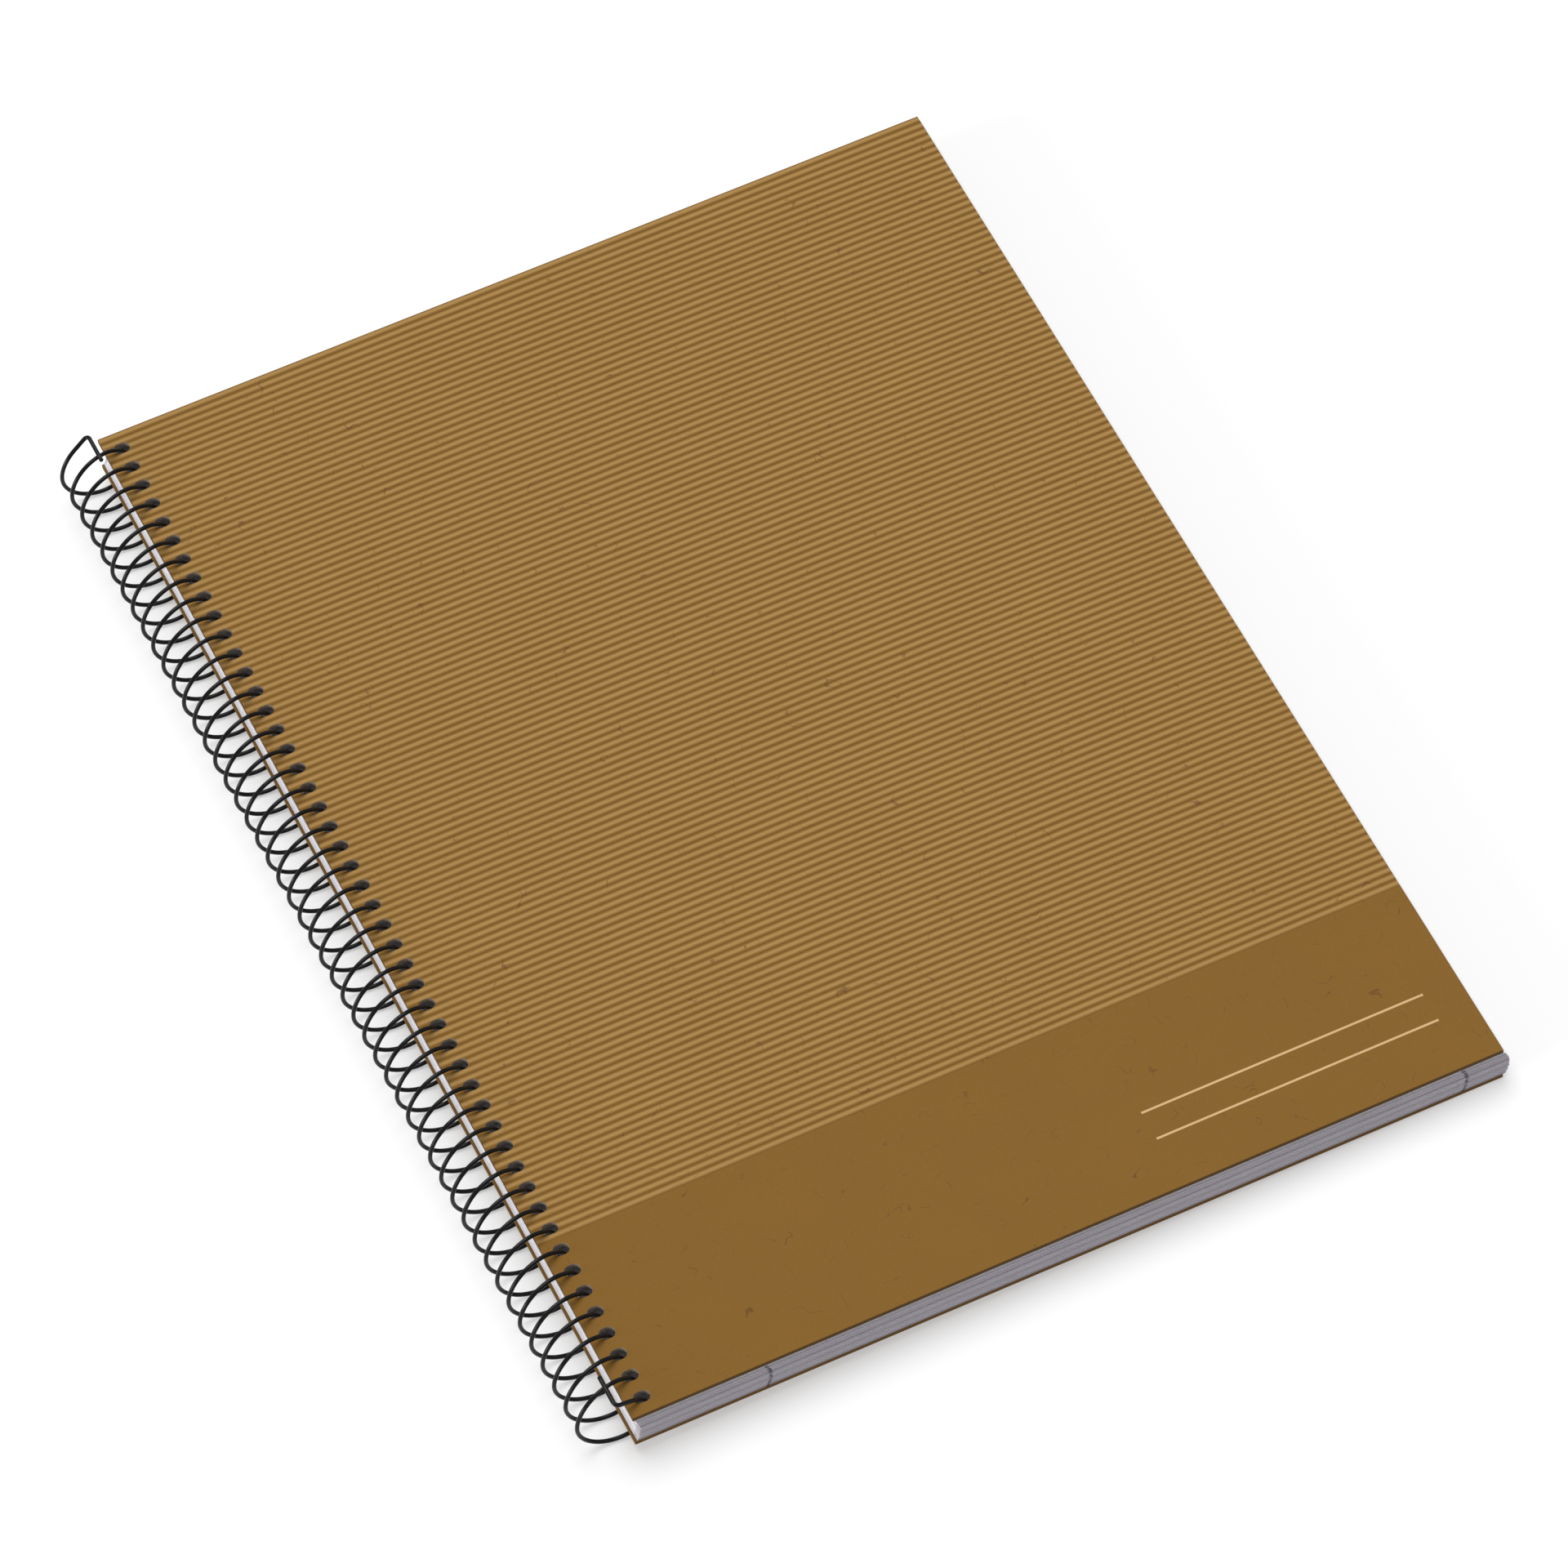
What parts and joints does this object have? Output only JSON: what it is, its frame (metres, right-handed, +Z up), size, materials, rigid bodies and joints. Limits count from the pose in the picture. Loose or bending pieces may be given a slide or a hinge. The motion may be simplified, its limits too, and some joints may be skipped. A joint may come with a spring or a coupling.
{
  "type": "coil-bound sketchbook",
  "caption": "Portrait A4 sketchbook with kraft board covers and white leaves, bound along its left edge by a black spiral wire.",
  "frame": {"origin": "on the table, midway along the spiral and straight below its axis", "axes": "+X from the spine towards the fore-edge, +Y from the bottom of the page to its top along the spiral, +Z up"},
  "size_m": [0.2227, 0.297, 0.0188],
  "materials": {
    "kraft_board": "matte",
    "paper": "matte",
    "wire": "semi-gloss black coating over steel wire"
  },
  "bodies": {
    "back_cover": {"back_cover": "kraft_board"},
    "front_cover": {"front_cover": "kraft_board"},
    "spiral_wire": {"spiral_wire": "wire"},
    "leaf_01": {"leaf_01": "paper"},
    "leaf_02": {"leaf_02": "paper"},
    "leaf_03": {"leaf_03": "paper"},
    "leaf_04": {"leaf_04": "paper"},
    "leaf_05": {"leaf_05": "paper"},
    "leaf_06": {"leaf_06": "paper"},
    "leaf_07": {"leaf_07": "paper"},
    "leaf_08": {"leaf_08": "paper"},
    "leaf_09": {"leaf_09": "paper"},
    "leaf_10": {"leaf_10": "paper"},
    "leaf_11": {"leaf_11": "paper"},
    "leaf_12": {"leaf_12": "paper"},
    "leaf_13": {"leaf_13": "paper"},
    "leaf_14": {"leaf_14": "paper"},
    "leaf_15": {"leaf_15": "paper"},
    "leaf_16": {"leaf_16": "paper"},
    "leaf_17": {"leaf_17": "paper"},
    "leaf_18": {"leaf_18": "paper"},
    "leaf_19": {"leaf_19": "paper"},
    "leaf_20": {"leaf_20": "paper"},
    "leaf_21": {"leaf_21": "paper"},
    "leaf_22": {"leaf_22": "paper"},
    "leaf_23": {"leaf_23": "paper"},
    "leaf_24": {"leaf_24": "paper"},
    "leaf_25": {"leaf_25": "paper"},
    "leaf_26": {"leaf_26": "paper"},
    "leaf_27": {"leaf_27": "paper"},
    "leaf_28": {"leaf_28": "paper"},
    "leaf_29": {"leaf_29": "paper"},
    "leaf_30": {"leaf_30": "paper"},
    "leaf_31": {"leaf_31": "paper"},
    "leaf_32": {"leaf_32": "paper"},
    "leaf_33": {"leaf_33": "paper"},
    "leaf_34": {"leaf_34": "paper"},
    "leaf_35": {"leaf_35": "paper"},
    "leaf_36": {"leaf_36": "paper"},
    "leaf_37": {"leaf_37": "paper"},
    "leaf_38": {"leaf_38": "paper"},
    "leaf_39": {"leaf_39": "paper"},
    "leaf_40": {"leaf_40": "paper"},
    "leaf_41": {"leaf_41": "paper"},
    "leaf_42": {"leaf_42": "paper"},
    "leaf_43": {"leaf_43": "paper"},
    "leaf_44": {"leaf_44": "paper"},
    "leaf_45": {"leaf_45": "paper"},
    "leaf_46": {"leaf_46": "paper"}
  },
  "joints": [
    {"name": "front_cover_turn", "type": "hinge", "parent": "back_cover", "child": "front_cover", "pos_m": [0, 0, 0.00864], "axis": [0, -1, 0], "range_deg": [0, 181.77]},
    {"name": "spiral_turn", "type": "hinge", "parent": "back_cover", "child": "spiral_wire", "pos_m": [0, 0, 0.00864], "axis": [0, -1, 0], "range_deg": [0, 181.77]},
    {"name": "leaf_01_turn", "type": "hinge", "parent": "back_cover", "child": "leaf_01", "pos_m": [0, 0, 0.00864], "axis": [0, -1, 0], "range_deg": [0, 181.77]},
    {"name": "leaf_02_turn", "type": "hinge", "parent": "back_cover", "child": "leaf_02", "pos_m": [0, 0, 0.00864], "axis": [0, -1, 0], "range_deg": [0, 181.77]},
    {"name": "leaf_03_turn", "type": "hinge", "parent": "back_cover", "child": "leaf_03", "pos_m": [0, 0, 0.00864], "axis": [0, -1, 0], "range_deg": [0, 181.77]},
    {"name": "leaf_04_turn", "type": "hinge", "parent": "back_cover", "child": "leaf_04", "pos_m": [0, 0, 0.00864], "axis": [0, -1, 0], "range_deg": [0, 181.77]},
    {"name": "leaf_05_turn", "type": "hinge", "parent": "back_cover", "child": "leaf_05", "pos_m": [0, 0, 0.00864], "axis": [0, -1, 0], "range_deg": [0, 181.77]},
    {"name": "leaf_06_turn", "type": "hinge", "parent": "back_cover", "child": "leaf_06", "pos_m": [0, 0, 0.00864], "axis": [0, -1, 0], "range_deg": [0, 181.77]},
    {"name": "leaf_07_turn", "type": "hinge", "parent": "back_cover", "child": "leaf_07", "pos_m": [0, 0, 0.00864], "axis": [0, -1, 0], "range_deg": [0, 181.77]},
    {"name": "leaf_08_turn", "type": "hinge", "parent": "back_cover", "child": "leaf_08", "pos_m": [0, 0, 0.00864], "axis": [0, -1, 0], "range_deg": [0, 181.77]},
    {"name": "leaf_09_turn", "type": "hinge", "parent": "back_cover", "child": "leaf_09", "pos_m": [0, 0, 0.00864], "axis": [0, -1, 0], "range_deg": [0, 181.77]},
    {"name": "leaf_10_turn", "type": "hinge", "parent": "back_cover", "child": "leaf_10", "pos_m": [0, 0, 0.00864], "axis": [0, -1, 0], "range_deg": [0, 181.77]},
    {"name": "leaf_11_turn", "type": "hinge", "parent": "back_cover", "child": "leaf_11", "pos_m": [0, 0, 0.00864], "axis": [0, -1, 0], "range_deg": [0, 181.77]},
    {"name": "leaf_12_turn", "type": "hinge", "parent": "back_cover", "child": "leaf_12", "pos_m": [0, 0, 0.00864], "axis": [0, -1, 0], "range_deg": [0, 181.77]},
    {"name": "leaf_13_turn", "type": "hinge", "parent": "back_cover", "child": "leaf_13", "pos_m": [0, 0, 0.00864], "axis": [0, -1, 0], "range_deg": [0, 181.77]},
    {"name": "leaf_14_turn", "type": "hinge", "parent": "back_cover", "child": "leaf_14", "pos_m": [0, 0, 0.00864], "axis": [0, -1, 0], "range_deg": [0, 181.77]},
    {"name": "leaf_15_turn", "type": "hinge", "parent": "back_cover", "child": "leaf_15", "pos_m": [0, 0, 0.00864], "axis": [0, -1, 0], "range_deg": [0, 181.77]},
    {"name": "leaf_16_turn", "type": "hinge", "parent": "back_cover", "child": "leaf_16", "pos_m": [0, 0, 0.00864], "axis": [0, -1, 0], "range_deg": [0, 181.77]},
    {"name": "leaf_17_turn", "type": "hinge", "parent": "back_cover", "child": "leaf_17", "pos_m": [0, 0, 0.00864], "axis": [0, -1, 0], "range_deg": [0, 181.77]},
    {"name": "leaf_18_turn", "type": "hinge", "parent": "back_cover", "child": "leaf_18", "pos_m": [0, 0, 0.00864], "axis": [0, -1, 0], "range_deg": [0, 181.77]},
    {"name": "leaf_19_turn", "type": "hinge", "parent": "back_cover", "child": "leaf_19", "pos_m": [0, 0, 0.00864], "axis": [0, -1, 0], "range_deg": [0, 181.77]},
    {"name": "leaf_20_turn", "type": "hinge", "parent": "back_cover", "child": "leaf_20", "pos_m": [0, 0, 0.00864], "axis": [0, -1, 0], "range_deg": [0, 181.77]},
    {"name": "leaf_21_turn", "type": "hinge", "parent": "back_cover", "child": "leaf_21", "pos_m": [0, 0, 0.00864], "axis": [0, -1, 0], "range_deg": [0, 181.77]},
    {"name": "leaf_22_turn", "type": "hinge", "parent": "back_cover", "child": "leaf_22", "pos_m": [0, 0, 0.00864], "axis": [0, -1, 0], "range_deg": [0, 181.77]},
    {"name": "leaf_23_turn", "type": "hinge", "parent": "back_cover", "child": "leaf_23", "pos_m": [0, 0, 0.00864], "axis": [0, -1, 0], "range_deg": [0, 181.77]},
    {"name": "leaf_24_turn", "type": "hinge", "parent": "back_cover", "child": "leaf_24", "pos_m": [0, 0, 0.00864], "axis": [0, -1, 0], "range_deg": [0, 181.77]},
    {"name": "leaf_25_turn", "type": "hinge", "parent": "back_cover", "child": "leaf_25", "pos_m": [0, 0, 0.00864], "axis": [0, -1, 0], "range_deg": [0, 181.77]},
    {"name": "leaf_26_turn", "type": "hinge", "parent": "back_cover", "child": "leaf_26", "pos_m": [0, 0, 0.00864], "axis": [0, -1, 0], "range_deg": [0, 181.77]},
    {"name": "leaf_27_turn", "type": "hinge", "parent": "back_cover", "child": "leaf_27", "pos_m": [0, 0, 0.00864], "axis": [0, -1, 0], "range_deg": [0, 181.77]},
    {"name": "leaf_28_turn", "type": "hinge", "parent": "back_cover", "child": "leaf_28", "pos_m": [0, 0, 0.00864], "axis": [0, -1, 0], "range_deg": [0, 181.77]},
    {"name": "leaf_29_turn", "type": "hinge", "parent": "back_cover", "child": "leaf_29", "pos_m": [0, 0, 0.00864], "axis": [0, -1, 0], "range_deg": [0, 181.77]},
    {"name": "leaf_30_turn", "type": "hinge", "parent": "back_cover", "child": "leaf_30", "pos_m": [0, 0, 0.00864], "axis": [0, -1, 0], "range_deg": [0, 181.77]},
    {"name": "leaf_31_turn", "type": "hinge", "parent": "back_cover", "child": "leaf_31", "pos_m": [0, 0, 0.00864], "axis": [0, -1, 0], "range_deg": [0, 181.77]},
    {"name": "leaf_32_turn", "type": "hinge", "parent": "back_cover", "child": "leaf_32", "pos_m": [0, 0, 0.00864], "axis": [0, -1, 0], "range_deg": [0, 181.77]},
    {"name": "leaf_33_turn", "type": "hinge", "parent": "back_cover", "child": "leaf_33", "pos_m": [0, 0, 0.00864], "axis": [0, -1, 0], "range_deg": [0, 181.77]},
    {"name": "leaf_34_turn", "type": "hinge", "parent": "back_cover", "child": "leaf_34", "pos_m": [0, 0, 0.00864], "axis": [0, -1, 0], "range_deg": [0, 181.77]},
    {"name": "leaf_35_turn", "type": "hinge", "parent": "back_cover", "child": "leaf_35", "pos_m": [0, 0, 0.00864], "axis": [0, -1, 0], "range_deg": [0, 181.77]},
    {"name": "leaf_36_turn", "type": "hinge", "parent": "back_cover", "child": "leaf_36", "pos_m": [0, 0, 0.00864], "axis": [0, -1, 0], "range_deg": [0, 181.77]},
    {"name": "leaf_37_turn", "type": "hinge", "parent": "back_cover", "child": "leaf_37", "pos_m": [0, 0, 0.00864], "axis": [0, -1, 0], "range_deg": [0, 181.77]},
    {"name": "leaf_38_turn", "type": "hinge", "parent": "back_cover", "child": "leaf_38", "pos_m": [0, 0, 0.00864], "axis": [0, -1, 0], "range_deg": [0, 181.77]},
    {"name": "leaf_39_turn", "type": "hinge", "parent": "back_cover", "child": "leaf_39", "pos_m": [0, 0, 0.00864], "axis": [0, -1, 0], "range_deg": [0, 181.77]},
    {"name": "leaf_40_turn", "type": "hinge", "parent": "back_cover", "child": "leaf_40", "pos_m": [0, 0, 0.00864], "axis": [0, -1, 0], "range_deg": [0, 181.77]},
    {"name": "leaf_41_turn", "type": "hinge", "parent": "back_cover", "child": "leaf_41", "pos_m": [0, 0, 0.00864], "axis": [0, -1, 0], "range_deg": [0, 181.77]},
    {"name": "leaf_42_turn", "type": "hinge", "parent": "back_cover", "child": "leaf_42", "pos_m": [0, 0, 0.00864], "axis": [0, -1, 0], "range_deg": [0, 181.77]},
    {"name": "leaf_43_turn", "type": "hinge", "parent": "back_cover", "child": "leaf_43", "pos_m": [0, 0, 0.00864], "axis": [0, -1, 0], "range_deg": [0, 181.77]},
    {"name": "leaf_44_turn", "type": "hinge", "parent": "back_cover", "child": "leaf_44", "pos_m": [0, 0, 0.00864], "axis": [0, -1, 0], "range_deg": [0, 181.77]},
    {"name": "leaf_45_turn", "type": "hinge", "parent": "back_cover", "child": "leaf_45", "pos_m": [0, 0, 0.00864], "axis": [0, -1, 0], "range_deg": [0, 181.77]},
    {"name": "leaf_46_turn", "type": "hinge", "parent": "back_cover", "child": "leaf_46", "pos_m": [0, 0, 0.00864], "axis": [0, -1, 0], "range_deg": [0, 181.77]}
  ],
  "couplings": [
    {"joint": "spiral_turn", "follows": "front_cover_turn", "ratio": 1},
    {"joint": "leaf_01_turn", "follows": "front_cover_turn", "ratio": 0.9915},
    {"joint": "leaf_02_turn", "follows": "front_cover_turn", "ratio": 0.9827},
    {"joint": "leaf_03_turn", "follows": "front_cover_turn", "ratio": 0.9734},
    {"joint": "leaf_04_turn", "follows": "front_cover_turn", "ratio": 0.9636},
    {"joint": "leaf_05_turn", "follows": "front_cover_turn", "ratio": 0.9528},
    {"joint": "leaf_06_turn", "follows": "front_cover_turn", "ratio": 0.941},
    {"joint": "leaf_07_turn", "follows": "front_cover_turn", "ratio": 0.9279},
    {"joint": "leaf_08_turn", "follows": "front_cover_turn", "ratio": 0.9135},
    {"joint": "leaf_09_turn", "follows": "front_cover_turn", "ratio": 0.8976},
    {"joint": "leaf_10_turn", "follows": "front_cover_turn", "ratio": 0.8801},
    {"joint": "leaf_11_turn", "follows": "front_cover_turn", "ratio": 0.861},
    {"joint": "leaf_12_turn", "follows": "front_cover_turn", "ratio": 0.8401},
    {"joint": "leaf_13_turn", "follows": "front_cover_turn", "ratio": 0.8176},
    {"joint": "leaf_14_turn", "follows": "front_cover_turn", "ratio": 0.7933},
    {"joint": "leaf_15_turn", "follows": "front_cover_turn", "ratio": 0.7675},
    {"joint": "leaf_16_turn", "follows": "front_cover_turn", "ratio": 0.7401},
    {"joint": "leaf_17_turn", "follows": "front_cover_turn", "ratio": 0.7112},
    {"joint": "leaf_18_turn", "follows": "front_cover_turn", "ratio": 0.6811},
    {"joint": "leaf_19_turn", "follows": "front_cover_turn", "ratio": 0.6498},
    {"joint": "leaf_20_turn", "follows": "front_cover_turn", "ratio": 0.6175},
    {"joint": "leaf_21_turn", "follows": "front_cover_turn", "ratio": 0.5845},
    {"joint": "leaf_22_turn", "follows": "front_cover_turn", "ratio": 0.5509},
    {"joint": "leaf_23_turn", "follows": "front_cover_turn", "ratio": 0.517},
    {"joint": "leaf_24_turn", "follows": "front_cover_turn", "ratio": 0.483},
    {"joint": "leaf_25_turn", "follows": "front_cover_turn", "ratio": 0.4491},
    {"joint": "leaf_26_turn", "follows": "front_cover_turn", "ratio": 0.4155},
    {"joint": "leaf_27_turn", "follows": "front_cover_turn", "ratio": 0.3825},
    {"joint": "leaf_28_turn", "follows": "front_cover_turn", "ratio": 0.3502},
    {"joint": "leaf_29_turn", "follows": "front_cover_turn", "ratio": 0.3189},
    {"joint": "leaf_30_turn", "follows": "front_cover_turn", "ratio": 0.2888},
    {"joint": "leaf_31_turn", "follows": "front_cover_turn", "ratio": 0.2599},
    {"joint": "leaf_32_turn", "follows": "front_cover_turn", "ratio": 0.2325},
    {"joint": "leaf_33_turn", "follows": "front_cover_turn", "ratio": 0.2067},
    {"joint": "leaf_34_turn", "follows": "front_cover_turn", "ratio": 0.1824},
    {"joint": "leaf_35_turn", "follows": "front_cover_turn", "ratio": 0.1599},
    {"joint": "leaf_36_turn", "follows": "front_cover_turn", "ratio": 0.139},
    {"joint": "leaf_37_turn", "follows": "front_cover_turn", "ratio": 0.1199},
    {"joint": "leaf_38_turn", "follows": "front_cover_turn", "ratio": 0.1024},
    {"joint": "leaf_39_turn", "follows": "front_cover_turn", "ratio": 0.0865},
    {"joint": "leaf_40_turn", "follows": "front_cover_turn", "ratio": 0.0721},
    {"joint": "leaf_41_turn", "follows": "front_cover_turn", "ratio": 0.059},
    {"joint": "leaf_42_turn", "follows": "front_cover_turn", "ratio": 0.0472},
    {"joint": "leaf_43_turn", "follows": "front_cover_turn", "ratio": 0.0364},
    {"joint": "leaf_44_turn", "follows": "front_cover_turn", "ratio": 0.0266},
    {"joint": "leaf_45_turn", "follows": "front_cover_turn", "ratio": 0.0173},
    {"joint": "leaf_46_turn", "follows": "front_cover_turn", "ratio": 0.0085}
  ]
}
